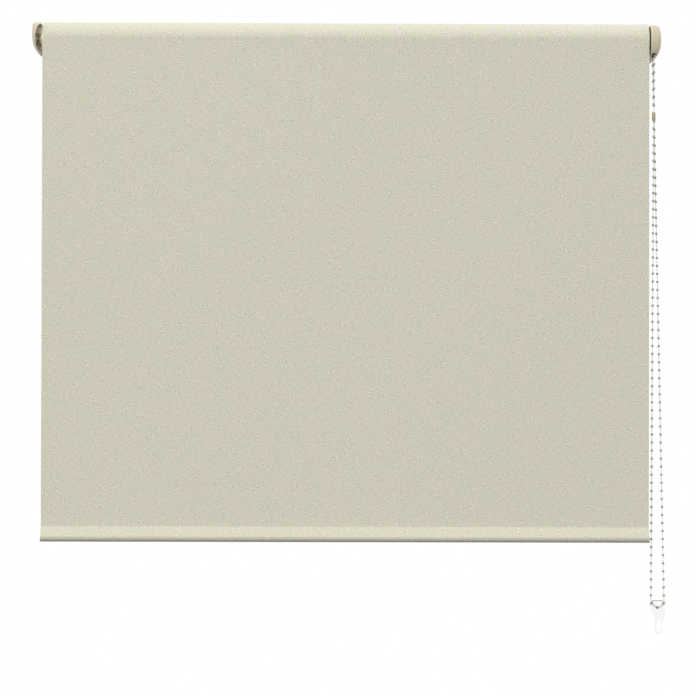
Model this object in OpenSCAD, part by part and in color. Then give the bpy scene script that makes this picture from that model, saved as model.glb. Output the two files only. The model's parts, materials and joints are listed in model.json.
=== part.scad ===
// Screen roller blind with a bead-chain control, fixed to a wall or a window frame.
// Millimetres. +X runs along the tube to the control end, +Y into the wall, +Z up.
// The origin is the centre of the four wall-screw holes, on the wall face of the brackets,
// and the roller axis lies straight in front of it.

/* [Fabric] */
// Width of the fabric
fabric_w = 900; // [500:10:1600]
// Height from the roller axis down to the weld above the hem
fabric_drop = 722; // [400:1:1500]
// Thickness of the screen fabric
fabric_t = 0.45; // [0.3:0.05:0.8]
// Air between one lap on the roll and the next
lap_gap = 0.1; // [0.05:0.05:0.3]
// Laps that stay on the tube with the blind down
laps = 4; // [2:1:8]
// Height of the weld that closes the hem
weld_h = 1.5; // [1:0.5:5]

/* [Tube] */
// Outside diameter of the tube
tube_d = 43; // [38:1:50]
// Wall of the tube
tube_wall = 1.2; // [1:0.1:2]
// Length of bare tube past the fabric at each end
tube_reveal = 0.5; // [0.5:0.5:5]
// Depth of the two key rails inside the tube
rail_h = 2.5; // [1.5:0.5:4]
// Thickness of the tape that holds the fabric to the tube
tape_t = 0.15; // [0.1:0.05:0.3]
// Width of the tape round the tube, in degrees
tape_arc = 50; // [20:5:90]

/* [Bottom bar] */
// Height of the hem below its weld
hem_h = 23; // [20:0.5:34]
// Thickness of the drop-shaped bar at its round foot
bar_t = 12.5; // [8:0.5:15]
// Radius of the bar at its tip
bar_tip = 1.6; // [1.5:0.1:3]
// Wall of the bar
bar_wall = 1.2; // [0.8:0.1:2]
// Thickness of the bar caps outside the bar
cap_t = 1.2; // [1:0.1:5]
// How far the caps stand out round the hem
cap_rim = 0.3; // [0.2:0.1:1]
// Length of the cap plugs inside the bar
cap_plug = 12; // [8:1:20]

/* [Brackets] */
// Distance from the wall to the roller axis
axis_out = 38; // [34:1:60]
// Plate thickness of both brackets
plate_t = 2; // [1.5:0.5:3]
// Radius of the rounded front end of the arms
arm_r = 9.5; // [9:0.1:9.8]
// Distance from the wall at which an arm starts to widen to its flange
arm_flare = 10; // [8:0.5:14]
// Height of the wall flanges
flange_h = 34; // [34:1:40]
// How far the wall flanges reach in past the ends of the fabric
flange_in = 10; // [9:1:30]
// Inside radius of the fold
fold_r = 1; // [0.5:0.5:2]
// Diameter of the wall-screw holes
screw_d = 4.5; // [4:0.1:6]
// Height between the two holes of a bracket
screw_rise = 24; // [16:1:30]
// Distance from the fabric edge out to the holes
screw_x = 1; // [0:0.5:4]

/* [Covers] */
// Radius of the rounded side of the end covers
dome_r = 37; // [36.5:0.5:44]
// Radius of the flat at the crown of the end covers
dome_flat = 1; // [0.9:0.1:3]
// Height of the middle of the domes above the roller axis
dome_rise = 4; // [2:0.5:4]
// Height of the flat top of the control cover above the roller axis
control_top = 20.8; // [20:0.1:26]
// Height of the flat top of the idle cover above the roller axis
idle_top = 21.8; // [20:0.1:26]
// Wall of the covers and of the chain guard
cover_wall = 1.6; // [1.2:0.1:1.6]
// Room between a bracket arm and the inside of its cover
cover_room = 2.5; // [2.4:0.1:4]
// Half width of the window in the front of the idle cover
window_w = 8.3; // [6:0.1:9]
// Half height of the window in the front of the idle cover
window_h = 20; // [14:0.5:20]
// Height of the middle of the window above the roller axis
window_z = -0.6; // [-4:0.1:-0.4]
// Diameter of the seat posts inside the covers
post_d = 5; // [3:0.5:6]

/* [Chain] */
// Diameter of the beads
bead_d = 4.5; // [4:0.1:5]
// Distance between beads
bead_pitch = 12; // [10:0.5:14]
// Diameter of the cord
cord_d = 1.2; // [0.8:0.1:1.6]
// Beads round the sprocket
sprocket_beads = 8; // [7:1:9]
// Height from the roller axis down to the middle of the bottom turn
chain_drop = 834; // [400:1:1400]
// Width between the strands at the bottom
loop_w = 19.4; // [16:0.1:26]
// Distance of the bottom turn out from the sprocket plane
loop_out = 7.2; // [0:0.1:9]
// Distance down the front strand to the connector
connector_down = 108; // [60:1:300]
// Length of the connector
connector_l = 14; // [13:0.5:18]
// Diameter of the connector
connector_d = 5.4; // [4:0.1:7]

/* [Chain holder] */
// Plate thickness of the holder
holder_t = 3; // [2:0.5:4]
// Height of the holder below the middle of the bottom turn
holder_h = 50; // [44:0.5:70]
// Width of the cup behind the bottom turn
cup_w = 21.8; // [18:0.1:26]
// Sideways shift of the cup
cup_x = 1.2; // [0:0.1:2]
// Height of the long side of the cup
cup_h = 21; // [16:0.5:24]
// Height over which the cup narrows to the screw tab
neck_h = 9; // [6:0.5:12]
// Width of the screw tab
tab_w = 11.4; // [10:0.1:16]
// Sideways shift of the screw tab
tab_x = 2.4; // [0:0.1:3]
// Diameter of the screw hole
tab_hole_d = 4.5; // [3.5:0.1:5.5]

/* [Control end] */
// Length of the drive hub in the tube
hub_len = 40; // [34:1:60]
// Thickness of the hub and plug flanges
end_flange_t = 1.5; // [1.5:0.5:4]
// Width of the sprocket over its flanges
sprocket_w = 6.8; // [6.8:0.1:9]
// Radius of the journal that carries the sprocket
core_r = 8.5; // [8:0.1:9.5]
// Wall of the sprocket sleeve
sleeve_t = 1.2; // [1:0.1:1.6]
// Radius of the barrel that the brake springs grip
barrel_r = 7; // [6:0.1:7.2]
// Wire of the brake springs
brake_wire = 1.2; // [0.8:0.1:1.2]
// Turns of each brake spring
brake_turns = 6; // [3:1:7]
// Thickness of the core flange
core_flange_t = 1.5; // [1.2:0.1:2]
// Radius of the core flange
core_flange_r = 13; // [12:0.5:13.5]
// Side of the square spigot in the control bracket
spigot_w = 9; // [7:0.5:12]
// Diameter of the core screw
core_screw_d = 3; // [2.5:0.5:4]

/* [Idle end] */
// Length of the idle plug in the tube
plug_len = 40; // [38:1:60]
// Diameter of the idle pin
pin_d = 6; // [5:0.5:7]
// How far the pin can be pushed in
pin_travel = 7; // [6:0.5:9]
// Length of the plug boss past its flange
boss_l = 3; // [2:0.5:5]
// Room between the plug boss and the idle bracket
idle_room = 5.5; // [4:0.5:8]
// Wire of the pin spring
pin_wire = 1.2; // [0.8:0.1:1.4]
// Turns of the pin spring
pin_turns = 8; // [5:1:10]

/* [Fits] */
// Axial room between turning and fixed faces
run_gap = 0.4; // [0.3:0.05:0.8]
// Radial room of turning fits
turn_fit = 0.06; // [0.03:0.01:0.1]
// Room of parts that are pushed together and stay
seat_fit = 0.1; // [0.05:0.05:0.2]
// Room round a bead
bead_room = 0.4; // [0.3:0.1:1]

/* [Hidden] */
$fn = 64;
over = 1;
far = 200;
bite = 0.02;
arm_h = arm_r * 0.93;
flange_corner = 5;
fins = 8;
fin_w = 3;
fin_root = 2.5;
rail_w = 1.2;
rail_y = fin_w / 2 + seat_fit + rail_w / 2;
coil_steps = 20;
coil_sides = 8;
roll_steps = 36;
tube_r = tube_d / 2;
tube_in = tube_r - tube_wall;
lap = fabric_t + lap_gap;
roll_in = tube_r + tape_t + 2 * lap_gap;
roll_last = roll_in + laps * lap;
roll_r = roll_last + fabric_t;
panel_y = -axis_out - roll_r;
edge = fabric_w / 2;
tube_end = edge + tube_reveal;
bead_r = bead_d / 2;
cord_r = cord_d / 2;

bar_foot = bar_t / 2;
hem_skin = seat_fit + fabric_t;
hem_rise = hem_h - bar_foot - 2 * hem_skin;
hem_y = panel_y + fabric_t / 2;
hem_z = -fabric_drop - weld_h - hem_skin - hem_rise;
bar_rise = hem_rise * (bar_foot - bar_tip) / bar_foot;

hub_in = tube_end - hub_len;
hub_out = tube_end + end_flange_t;
guard_in = hub_out + run_gap;
guard_cavity = guard_in + cover_wall;
sprocket_in = guard_cavity + run_gap;
sprocket_mid = sprocket_in + sprocket_w / 2;
sprocket_out = sprocket_in + sprocket_w;
sprocket_r = sprocket_beads * bead_pitch / (2 * PI);
sprocket_body_r = sprocket_r - 0.3;
sprocket_rim_r = sprocket_r + bead_r * 0.6;
rim_t = 0.8;
sleeve_r = core_r + turn_fit + sleeve_t;
sleeve_in = tube_end - 2;
core_in = sprocket_out + run_gap;
control_arm_in = core_in + core_flange_t;
control_arm_out = control_arm_in + plate_t;
control_out = control_arm_out + cover_room + cover_wall;
end_wall = 4;
tip_r = 5;
tip_in = hub_in - run_gap;
barrel_in = hub_in + end_wall + run_gap;
brake_r = (barrel_r + turn_fit) / cos(180 / coil_steps) + brake_wire / 2;
brake_pitch = brake_wire * 1.12;
brake_l = brake_turns * brake_pitch;
brake_in = barrel_in + 7;
tongue_in = barrel_in + 2;
tongue_arc = 70;
washer_t = 1;
screw_head_h = 2;
screw_l = 12;
screw_hole_l = 14;
recess_w = 0.7;
recess_h = 1.2;
chain_slot = bead_d + 4 * bead_room;
slot_top = -8;
arch_w = chain_slot - 0.2;
arch_z = -19;

plug_in = tube_end - plug_len;
plug_out = tube_end + end_flange_t;
boss_out = plug_out + boss_l;
idle_arm_in = boss_out + idle_room;
idle_arm_out = idle_arm_in + plate_t;
idle_out = idle_arm_out + cover_room + cover_wall;
pin_r = pin_d / 2;
pin_tip = idle_arm_out + cover_room - 2 * run_gap;
pin_chamfer = 1;
idle_lip = plug_out + run_gap;
boss_r = pin_r + 4;
chamber_out = tube_end - 4;
chamber_r = pin_r + 3.2;
collar_t = 3;
collar_r = chamber_r - run_gap;
collar_out = chamber_out - 0.3;
collar_in = collar_out - collar_t;
pin_cap_t = 3;
pin_cap_out = plug_in + pin_cap_t;
coil_r = pin_r + 1.6;
coil_room = 0.1;
bush_r = pin_r + 2;
bush_flange_r = bush_r + 1.5;
bush_flange_t = 1;

top_len = PI * sprocket_r;
loop_r = loop_w / 2;
loop_mid = [sprocket_mid + loop_out, -axis_out, -chain_drop];
front_top = [sprocket_mid, -axis_out - sprocket_r, 0];
back_top = [sprocket_mid, -axis_out + sprocket_r, 0];
front_low = loop_mid - [loop_r, 0, 0];
back_low = loop_mid + [loop_r, 0, 0];
front_len = norm(front_low - front_top);
back_len = norm(back_top - back_low);
turn_len = PI * loop_r;
chain_len = top_len + front_len + turn_len + back_len;
beads = round(chain_len / bead_pitch);
chain_step = chain_len / beads;
connector_i = round((top_len + connector_down) / chain_step);
connector_step = 0.8;

// Point at a length along the endless chain, from the back of the sprocket over its top
function chain_at(s) =
    s < top_len ? [sprocket_mid,
                   -axis_out + sprocket_r * cos(180 * s / top_len),
                   sprocket_r * sin(180 * s / top_len)]
    : s < top_len + front_len ? front_top + (front_low - front_top) * (s - top_len) / front_len
    : s < top_len + front_len + turn_len
        ? loop_mid - loop_r * [cos(180 * (s - top_len - front_len) / turn_len), 0,
                               sin(180 * (s - top_len - front_len) / turn_len)]
    : back_low + (back_top - back_low) * (s - top_len - front_len - turn_len) / back_len;

// Points of one side of the wound fabric, from the outer end inwards
function lap_side(lift) = [for (i = [0 : laps * roll_steps])
    let (turn = 360 * i / roll_steps, r = roll_last + lift - lap * i / roll_steps)
    [-r * sin(turn), -r * cos(turn)]];

// Points along an arc about the origin, in steps of about five degrees
function arc_side(r, arc) = [for (i = [0 : ceil(arc / 5)])
    let (turn = arc * i / ceil(arc / 5))
    [r * cos(turn), r * sin(turn)]];

// The points of a list in the other order
function flipped(points) = [for (i = [len(points) - 1 : -1 : 0]) points[i]];

// Local +Z runs along +X from the point x on the roller axis
module on_axis(x) {
    translate([x, -axis_out, 0])
        rotate([0, 90, 0])
            children();
}

// Local +Z runs outwards along -X from the point -x on the roller axis
module on_idle_axis(x) {
    translate([-x, -axis_out, 0])
        mirror([1, 0, 0])
            rotate([0, 90, 0])
                children();
}

// Straight rod between two points
module rod(from, to, r) {
    run = to - from;
    translate(from)
        rotate([0, acos(run.z / norm(run)), atan2(run.y, run.x)])
            cylinder(r = r, h = norm(run));
}

// Ring with its foot at the origin
module ring(outer, inner, h) {
    difference() {
        cylinder(r = outer, h = h);
        translate([0, 0, -over])
            cylinder(r = inner, h = h + 2 * over);
    }
}

// Coil of round wire with its first turn at the origin
module coil(r, wire, pitch, turns) {
    rings = turns * coil_steps;
    points = [for (i = [0 : rings], j = [0 : coil_sides - 1])
        let (turn = 360 * i / coil_steps, side = 360 * j / coil_sides, q = r + wire / 2 * cos(side))
        [q * cos(turn), q * sin(turn), pitch * i / coil_steps + wire / 2 * sin(side)]];
    halves = [for (i = [0 : rings - 1], j = [0 : coil_sides - 1], half = [0, 1])
        let (a = i * coil_sides + j, b = i * coil_sides + (j + 1) % coil_sides)
        half == 0 ? [a, b, b + coil_sides] : [a, b + coil_sides, a + coil_sides]];
    first = [for (j = [coil_sides - 1 : -1 : 0]) j];
    last = [for (j = [0 : coil_sides - 1]) rings * coil_sides + j];
    polyhedron(points = points, faces = concat(halves, [first, last]), convexity = 10);
}

// Drop section in the YZ plane, drawn along X, with its round foot at the origin and its tip above
module drop(foot, tip, rise, len) {
    lean = asin((foot - tip) / rise);
    side = [cos(lean), sin(lean)];
    low = (foot - bite) * side;
    high = (tip - bite) * side + [0, rise];
    rotate([0, 90, 0])
        cylinder(r = foot, h = len);
    translate([0, 0, rise])
        rotate([0, 90, 0])
            cylinder(r = tip, h = len);
    rotate([90, 0, 90])
        linear_extrude(len)
            polygon([low, high, [-high.x, high.y], [-low.x, low.y]]);
}

// Section of the bar, grown by a skin, along X
module bar_form(skin, len) {
    drop(bar_foot + skin, max(bar_tip + skin, 0.3), bar_rise, len);
}

// Section of the pocket round the bar, at a distance skin from it, along X
module hem_form(skin, len) {
    drop(bar_foot + skin, skin, hem_rise, len);
}

// Domed end form on the axis with its crown at the height dome_r and a flat top, set in by shrink
module dome(top, shrink) {
    intersection() {
        translate([-dome_rise, 0, 0])
            rotate_extrude()
                intersection() {
                    union() {
                        translate([dome_flat, 0])
                            circle(r = dome_r - shrink);
                        square([dome_flat, dome_r - shrink]);
                    }
                    square(far);
                }
        translate([shrink - top, -far / 2, -over])
            cube([far, far, far]);
    }
}

// The part of a dome between two heights above its centre
module dome_slice(top, shrink, low, high) {
    intersection() {
        dome(top, shrink);
        translate([-far / 2, -far / 2, low])
            cube([far, far, high - low]);
    }
}

// Flat block with one rounded corner at [w, 0]
module corner_block(w, h, r) {
    translate([0, -h])
        square([w - r, h]);
    translate([0, -h])
        square([w, h - r]);
    translate([w - r, -r])
        circle(r = r);
}

// Side view of an arm in the YZ plane, drawn along X
module arm_outline(len) {
    translate([0, -axis_out, 0])
        rotate([0, 90, 0])
            cylinder(r = arm_r, h = len);
    rotate([90, 0, 90])
        linear_extrude(len)
            polygon([[-axis_out, arm_h], [-arm_flare, arm_h], [-arm_flare / 2, flange_h / 2],
                     [over, flange_h / 2], [over, -flange_h / 2], [-arm_flare / 2, -flange_h / 2],
                     [-arm_flare, -arm_h], [-axis_out, -arm_h]]);
}

// Folded bracket on the +X side with its arm outside at x
module bracket(x) {
    start = edge - flange_in;
    w = x - start;
    difference() {
        intersection() {
            translate([start, 0, -flange_h / 2])
                linear_extrude(flange_h)
                    difference() {
                        corner_block(w, axis_out + arm_r + over, fold_r + plate_t);
                        translate([-over, -plate_t])
                            corner_block(w - plate_t + over, axis_out + arm_r + 2 * over, fold_r);
                    }
            translate([start - over, 0, 0])
                arm_outline(w + 2 * over);
            translate([start, far, 0])
                rotate([90, 0, 0])
                    linear_extrude(2 * far)
                        polygon([[0, flange_corner - flange_h / 2], [flange_corner, -flange_h / 2],
                                 [far, -flange_h / 2], [far, flange_h / 2],
                                 [flange_corner, flange_h / 2], [0, flange_h / 2 - flange_corner]]);
        }
        for (side = [-1, 1])
            translate([edge + screw_x, over, side * screw_rise / 2])
                rotate([90, 0, 0])
                    cylinder(d = screw_d, h = plate_t + 2 * over);
    }
}

// Fins that centre a piece in the tube, with its key fin at the top
module tube_fins(len) {
    for (i = [0 : fins - 1])
        rotate([0, 0, 360 * i / fins])
            translate([-tube_in + seat_fit + (i == 0 ? 0 : rail_h), -fin_w / 2, 0])
                cube([tube_in / 2 - (i == 0 ? 0 : rail_h), fin_w, len]);
    for (i = [1 : fins - 1])
        rotate([0, 0, 360 * i / fins])
            translate([-tube_in + seat_fit, -fin_w / 4, 0])
                cube([rail_h + over, fin_w / 2, len]);
}

module control_bracket() {
    color("Silver")
        difference() {
            bracket(control_arm_out);
            on_axis(control_arm_in - over)
                translate([-spigot_w / 2, -spigot_w / 2, 0])
                    cube([spigot_w, spigot_w, plate_t + 2 * over]);
        }
}

module idle_bracket() {
    color("Silver")
        difference() {
            mirror([1, 0, 0])
                bracket(idle_arm_out);
            on_idle_axis(idle_arm_in - over)
                cylinder(r = bush_r, h = plate_t + 2 * over);
        }
}

module idle_bush() {
    color("Ivory")
        difference() {
            union() {
                on_idle_axis(idle_arm_in - bush_flange_t)
                    cylinder(r = bush_flange_r, h = bush_flange_t);
                on_idle_axis(idle_arm_in - bush_flange_t)
                    cylinder(r = bush_r - seat_fit / 2, h = plate_t + bush_flange_t);
            }
            on_idle_axis(idle_arm_in - bush_flange_t - over)
                cylinder(r = pin_r + turn_fit, h = plate_t + bush_flange_t + 2 * over);
        }
}

module clutch_core() {
    color("Gainsboro")
        difference() {
            union() {
                on_axis(tip_in)
                    cylinder(r = tip_r, h = core_in - tip_in);
                on_axis(barrel_in)
                    cylinder(r = barrel_r, h = core_in - barrel_in);
                on_axis(sleeve_in)
                    cylinder(r = core_r, h = core_in - sleeve_in + over / 2);
                on_axis(core_in)
                    cylinder(r = core_flange_r, h = core_flange_t);
                on_axis(core_in)
                    translate([-spigot_w / 2 + seat_fit, -spigot_w / 2 + seat_fit, 0])
                        cube([spigot_w - 2 * seat_fit, spigot_w - 2 * seat_fit, core_flange_t + plate_t]);
            }
            on_axis(tip_in - over)
                cylinder(d = core_screw_d + 2 * bite, h = screw_hole_l + over);
        }
}

module core_washer() {
    color("Silver")
        on_axis(tip_in - washer_t)
            ring(tip_r + 3, core_screw_d / 2 + seat_fit, washer_t);
}

module core_screw() {
    color("DimGray")
        difference() {
            union() {
                on_axis(tip_in - washer_t - screw_head_h)
                    cylinder(d = core_screw_d * 2, h = screw_head_h);
                on_axis(tip_in - washer_t - over / 2)
                    cylinder(d = core_screw_d, h = screw_l + over / 2);
            }
            for (turn = [0, 90])
                on_axis(tip_in - washer_t - screw_head_h - over)
                    rotate([0, 0, turn])
                        translate([-core_screw_d * 0.6, -recess_w / 2, 0])
                            cube([core_screw_d * 1.2, recess_w, over + recess_h]);
        }
}

// Room for both strands under the sprocket, with an arch out through the front
module chain_room() {
    front_y = -axis_out - sprocket_r;
    for (side = [-1, 1])
        translate([sprocket_mid - chain_slot / 2,
                   side * sprocket_r - axis_out - chain_slot / 2,
                   slot_top - 2 * dome_r])
            cube([chain_slot, chain_slot, 2 * dome_r]);
    translate([sprocket_mid, front_y, arch_z])
        rotate([90, 0, 0])
            cylinder(d = arch_w, h = far);
    translate([sprocket_mid - arch_w / 2 + bite, front_y - far, arch_z - 2 * dome_r])
        cube([arch_w - 2 * bite, far, 2 * dome_r]);
}

module chain_guard() {
    centre = control_out - dome_r;
    color("Ivory")
        difference() {
            on_axis(centre)
                dome_slice(control_top, 0, guard_in - centre, control_arm_in - centre);
            on_axis(centre)
                dome_slice(control_top, cover_wall, guard_cavity - centre, control_arm_in - centre + over);
            on_axis(guard_in - over)
                cylinder(r = sleeve_r + run_gap, h = cover_wall + 2 * over);
            chain_room();
        }
}

// Domed cover on the axis from the height low to its crown, with its posts down to the height seat
module end_cover(top, low, seat) {
    difference() {
        dome_slice(top, 0, low, dome_r);
        dome_slice(top, cover_wall, low - over, dome_r);
    }
    intersection() {
        dome_slice(top, cover_wall / 2, low, dome_r);
        for (side = [-1, 1])
            translate([side * (arm_r - post_d / 2 - over), 0, seat])
                cylinder(d = post_d, h = dome_r);
    }
}

// Room for a bracket arm at the back of a cover, up to the height seat
module arm_room(low, seat) {
    translate([-arm_r - 2 * bead_room, 0, low])
        cube([2 * arm_r + 4 * bead_room, far, seat - low]);
}

module control_cover() {
    centre = control_out - dome_r;
    color("Ivory")
        on_axis(centre)
            difference() {
                end_cover(control_top, control_arm_in - centre, control_arm_out - centre);
                arm_room(control_arm_in - centre - over, control_arm_out - centre);
            }
}

module idle_cover() {
    centre = idle_out - dome_r;
    lip = idle_lip - centre;
    color("Ivory")
        on_idle_axis(centre)
            difference() {
                end_cover(idle_top, lip, idle_arm_out - centre);
                arm_room(lip - over, idle_arm_out - centre);
                translate([-window_z, 0, lip])
                    rotate([90, 0, 0])
                        linear_extrude(far)
                            scale([window_h / window_w, 1])
                                circle(r = window_w);
            }
}

module bead_chain() {
    color("Linen")
        union() {
            for (i = [0 : beads - 1])
                if (i < connector_i || i > connector_i + 1)
                    translate(chain_at(i * chain_step))
                        rotate([0, 0, 45])
                            sphere(r = bead_r, $fn = 24);
            rod(front_top, front_low - [0, 0, over], cord_r);
            rod(back_top, back_low - [0, 0, over], cord_r);
            translate([sprocket_mid, -axis_out, 0])
                rotate([90, 0, 90])
                    rotate_extrude(angle = 180)
                        translate([sprocket_r, 0])
                            circle(r = cord_r * 1.1, $fn = 24);
            translate(loop_mid)
                rotate([-90, 0, 0])
                    rotate_extrude(angle = 180)
                        translate([loop_r, 0])
                            circle(r = cord_r * 1.1, $fn = 24);
        }
}

module chain_connector() {
    middle = chain_at((connector_i + 0.5) * chain_step);
    along = (front_low - front_top) / front_len;
    body = along * (connector_l / 2 - connector_d / 4);
    ends = along * connector_l / 2;
    color("Tan")
        difference() {
            union() {
                rod(middle - body, middle + body, connector_d / 2);
                rod(middle - ends, middle + ends, connector_d / 2 - connector_step);
            }
            rod(middle - 2 * ends, middle + 2 * ends, cord_r + seat_fit / 2);
        }
}

// Outline of the holder's back plate behind the bottom turn, down to the middle of its screw tab
module holder_outline(tab_z) {
    left = tab_x - tab_w * 0.46;
    right = tab_x + tab_w * 0.46;
    cup_left = cup_x - cup_w / 2;
    cup_right = cup_x + cup_w / 2;
    polygon([[cup_left, over], [cup_right, over], [cup_right, -cup_h], [right, -cup_h - neck_h],
             [right, tab_z], [left, tab_z], [left, -cup_h], [cup_left, neck_h - cup_h]]);
    translate([tab_x, tab_z])
        circle(d = tab_w);
}

module chain_holder() {
    back = bead_r + bead_room;
    hub = loop_r - bead_r - bead_room / 2;
    tab_z = tab_w / 2 - holder_h;
    color("WhiteSmoke")
        translate(loop_mid)
            rotate([90, 0, 0])
                difference() {
                    union() {
                        translate([0, 0, -back - holder_t])
                            linear_extrude(holder_t)
                                holder_outline(tab_z);
                        intersection() {
                            union() {
                                translate([0, 0, -back - over])
                                    cylinder(r = hub, h = 2 * back + 1.5 * over);
                                translate([0, 0, back])
                                    cylinder(r = loop_r + cord_r, h = cover_wall);
                            }
                            translate([-far / 2, over / 2 - far, -far / 2])
                                cube([far, far, far]);
                        }
                    }
                    translate([tab_x, tab_z, -far / 2])
                        cylinder(d = tab_hole_d, h = far);
                }
}

module roller_tube() {
    color("LightGray")
        on_axis(-tube_end)
            union() {
                ring(tube_r, tube_in, 2 * tube_end);
                for (side = [-1, 1])
                    translate([-tube_in - tube_wall / 2, side * rail_y - rail_w / 2, 0])
                        cube([rail_h + tube_wall / 2, rail_w, 2 * tube_end]);
            }
}

module fixing_tape() {
    foot = tube_r + lap_gap / 2;
    color("White")
        on_axis(-edge)
            linear_extrude(fabric_w)
                polygon(concat(arc_side(foot, tape_arc), flipped(arc_side(foot + tape_t, tape_arc))));
}

module fabric_roll() {
    color("Beige")
        on_axis(-edge)
            linear_extrude(fabric_w)
                polygon(concat(lap_side(0), flipped(lap_side(fabric_t))));
}

module drive_hub() {
    color("DimGray")
        difference() {
            union() {
                on_axis(tube_end)
                    cylinder(r = tube_r, h = end_flange_t);
                on_axis(hub_in)
                    cylinder(r = sleeve_r + seat_fit + fin_root, h = hub_len);
                on_axis(hub_in)
                    tube_fins(hub_len);
            }
            on_axis(hub_in + end_wall)
                cylinder(r = sleeve_r + seat_fit, h = hub_len + end_flange_t);
            on_axis(hub_in - over)
                cylinder(r = tip_r + turn_fit, h = end_wall + 2 * over);
        }
}

module sprocket() {
    color("White")
        difference() {
            union() {
                on_axis(sleeve_in)
                    cylinder(r = sleeve_r, h = sprocket_in - sleeve_in + over);
                on_axis(tongue_in)
                    rotate_extrude(angle = tongue_arc)
                        translate([core_r + turn_fit + bead_room / 2, 0])
                            square([sleeve_t - bead_room / 2, sleeve_in - tongue_in + over]);
                on_axis(sprocket_in)
                    cylinder(r = sprocket_body_r, h = sprocket_w);
                for (x = [sprocket_in, sprocket_out - rim_t])
                    on_axis(x)
                        cylinder(r = sprocket_rim_r, h = rim_t);
            }
            on_axis(sleeve_in - over)
                cylinder(r = core_r + turn_fit, h = sprocket_out - sleeve_in + 2 * over);
            for (i = [0 : sprocket_beads - 1])
                on_axis(sprocket_mid)
                    rotate([0, 0, 90 + 360 * i / sprocket_beads])
                        translate([sprocket_r, 0, 0])
                            sphere(r = bead_r + bead_room / 2, $fn = 32);
            on_axis(sprocket_mid)
                rotate_extrude()
                    translate([sprocket_r, 0])
                        circle(r = cord_r + bead_room / 2, $fn = 24);
        }
}

module brake_springs() {
    color("SlateGray")
        for (x = [brake_in, brake_in + brake_l + 2 * brake_wire])
            on_axis(x)
                coil(brake_r, brake_wire, brake_pitch, brake_turns);
}

module idle_plug() {
    color("Ivory")
        difference() {
            union() {
                on_idle_axis(tube_end)
                    cylinder(r = tube_r, h = end_flange_t);
                on_idle_axis(tube_end)
                    cylinder(r = boss_r, h = end_flange_t + boss_l);
                on_idle_axis(plug_in)
                    cylinder(r = chamber_r + fin_root, h = plug_len);
                on_idle_axis(plug_in)
                    tube_fins(plug_len);
            }
            on_idle_axis(plug_in - over)
                cylinder(r = chamber_r, h = chamber_out - plug_in + over);
            on_idle_axis(plug_in)
                cylinder(r = pin_r + turn_fit, h = plug_len + end_flange_t + boss_l + over);
        }
}

module plug_cap() {
    color("Gainsboro")
        on_idle_axis(plug_in)
            difference() {
                cylinder(r = chamber_r - seat_fit / 2, h = pin_cap_t);
                translate([0, 0, -over])
                    cylinder(r = pin_r, h = 2 * over);
            }
}

module pin_spring() {
    room = collar_in - pin_cap_out - pin_wire - 2 * coil_room;
    color("SlateGray")
        on_idle_axis(pin_cap_out + pin_wire / 2 + coil_room)
            coil(coil_r, pin_wire, room / pin_turns, pin_turns);
}

module idle_pin() {
    tail = collar_in - pin_cap_out - pin_travel - end_wall;
    color("Silver")
        union() {
            on_idle_axis(collar_in - tail)
                cylinder(r = pin_r - rim_t, h = tail + over);
            on_idle_axis(collar_in)
                cylinder(r = collar_r, h = collar_t);
            on_idle_axis(collar_in + over)
                cylinder(r = pin_r, h = pin_tip - collar_in - over - pin_chamfer);
            on_idle_axis(pin_tip - pin_chamfer)
                cylinder(r1 = pin_r, r2 = pin_r - pin_chamfer, h = pin_chamfer);
        }
}

module fabric_panel() {
    color("Beige")
        translate([-edge, panel_y, -fabric_drop])
            cube([fabric_w, fabric_t, fabric_drop]);
}

module hem_pocket() {
    color("Cornsilk")
        translate([-edge, hem_y, hem_z])
            difference() {
                union() {
                    hem_form(hem_skin, fabric_w);
                    translate([0, -fabric_t, 0])
                        cube([fabric_w, 2 * fabric_t, -fabric_drop - hem_z]);
                }
                translate([-over, 0, 0])
                    hem_form(seat_fit, fabric_w + 2 * over);
            }
}

module bottom_bar() {
    color("LightGray")
        translate([-edge, hem_y, hem_z])
            difference() {
                bar_form(0, fabric_w);
                translate([-over, 0, 0])
                    bar_form(-bar_wall, fabric_w + 2 * over);
            }
}

// Cap for the end of the bar on the +X side
module bar_cap() {
    translate([edge, hem_y, hem_z])
        hem_form(hem_skin + cap_rim, cap_t);
    translate([edge - cap_plug, hem_y, hem_z])
        bar_form(-bar_wall - seat_fit, cap_plug + over);
}

module bar_cap_left() {
    color("WhiteSmoke")
        mirror([1, 0, 0])
            bar_cap();
}

module bar_cap_right() {
    color("WhiteSmoke")
        bar_cap();
}

control_bracket();
idle_bracket();
idle_bush();
clutch_core();
core_washer();
core_screw();
chain_guard();
control_cover();
idle_cover();
bead_chain();
chain_connector();
chain_holder();
roller_tube();
fixing_tape();
fabric_roll();
drive_hub();
sprocket();
brake_springs();
idle_plug();
plug_cap();
pin_spring();
idle_pin();
fabric_panel();
hem_pocket();
bottom_bar();
bar_cap_left();
bar_cap_right();
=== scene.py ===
"""Screen roller blind with a bead-chain control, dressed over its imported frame.

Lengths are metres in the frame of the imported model: +X along the tube to the control end,
+Y into the wall, +Z up, with the origin on the wall face between the four screw holes.
"""

import sys

import json
import logging
import math
from collections.abc import Callable, Iterator, Sequence
from contextlib import contextmanager
from dataclasses import dataclass, field
from enum import Enum
from typing import Any

import bmesh
import bpy
from mathutils import Matrix, Vector

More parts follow.
